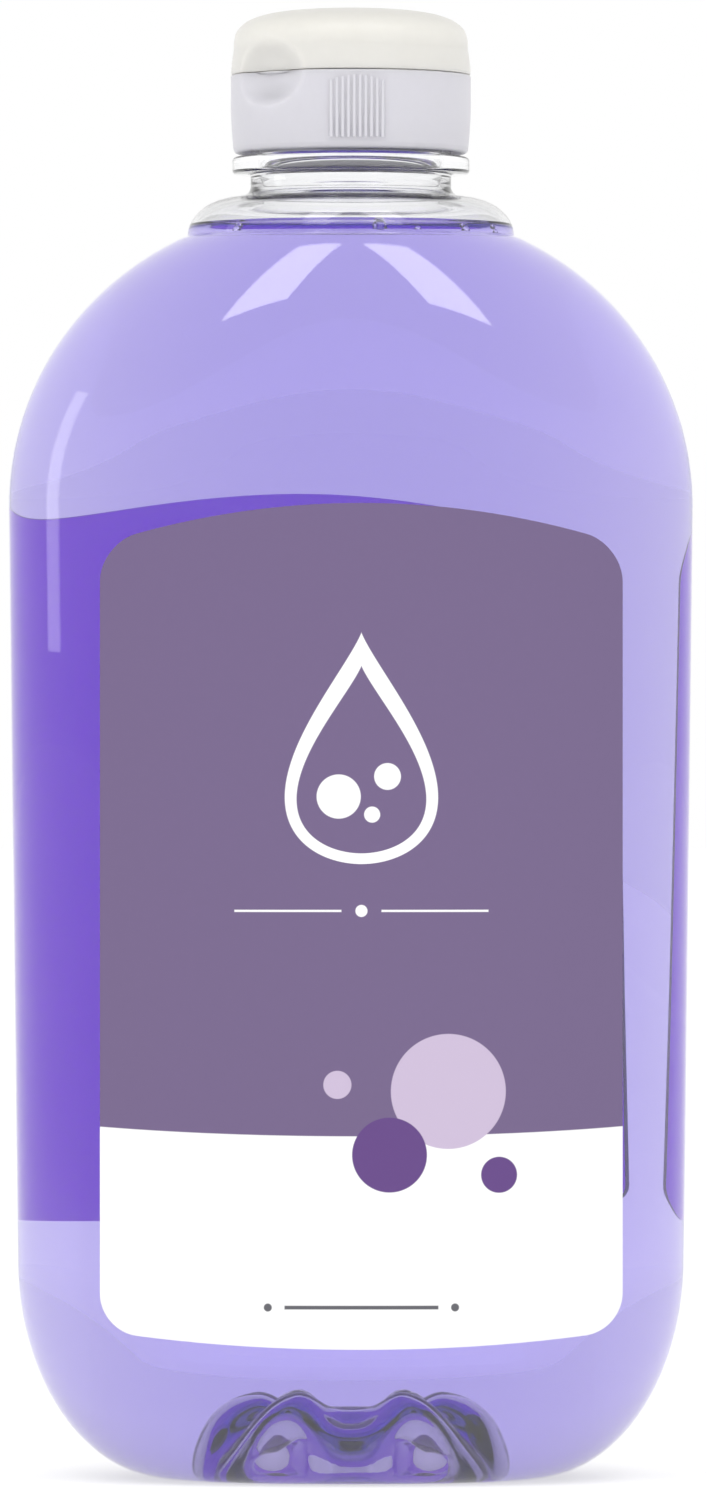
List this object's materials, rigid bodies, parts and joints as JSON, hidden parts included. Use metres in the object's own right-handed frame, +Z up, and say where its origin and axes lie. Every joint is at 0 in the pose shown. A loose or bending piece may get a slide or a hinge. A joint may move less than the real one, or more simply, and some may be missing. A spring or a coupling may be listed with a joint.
{
  "type": "hand soap refill bottle",
  "caption": "Clear oval refill bottle of liquid hand soap with a round neck, wrap-round front and back labels, and a screw cap with a hinged flip lid.",
  "frame": {"origin": "middle of the standing ring, at the height the bottle stands on", "axes": "+Z up along the neck, the front label faces -Y, the bottle's width runs along X"},
  "size_m": [0.1042, 0.0676, 0.2234],
  "materials": {
    "clear_plastic": "clear blown bottle plastic",
    "violet_liquid": "translucent violet liquid",
    "front_print": "satin printed film, mauve over white",
    "back_print": "satin printed film, plain mauve",
    "cap_plastic": "satin white moulded plastic, slightly translucent",
    "lid_plastic": "satin warm white moulded plastic",
    "washer_foam": "white closed-cell foam"
  },
  "bodies": {
    "bottle": {"bottle": "clear_plastic", "soap_fill": "violet_liquid", "front_label": "front_print", "back_label": "back_print"},
    "washer": {"cap_washer": "washer_foam"},
    "cap": {"cap_base": "cap_plastic"},
    "lid": {"cap_lid": "lid_plastic"}
  },
  "joints": [
    {"name": "cap_rise", "type": "slide", "parent": "bottle", "child": "washer", "axis": [0, 0, 1], "range_m": [0, 0.0189]},
    {"name": "cap_turn", "type": "hinge", "parent": "washer", "child": "cap", "pos_m": [0, 0, 0.2015], "axis": [0, 0, 1], "range_deg": [0, 1620]},
    {"name": "lid_hinge", "type": "hinge", "parent": "cap", "child": "lid", "pos_m": [0.01244, 0.01244, 0.2134], "axis": [-0.7071, 0.7071, 0], "range_deg": [0, 155]}
  ],
  "couplings": [
    {"joint": "cap_rise", "follows": "cap_turn", "m_per_rad": 0.00066845}
  ]
}
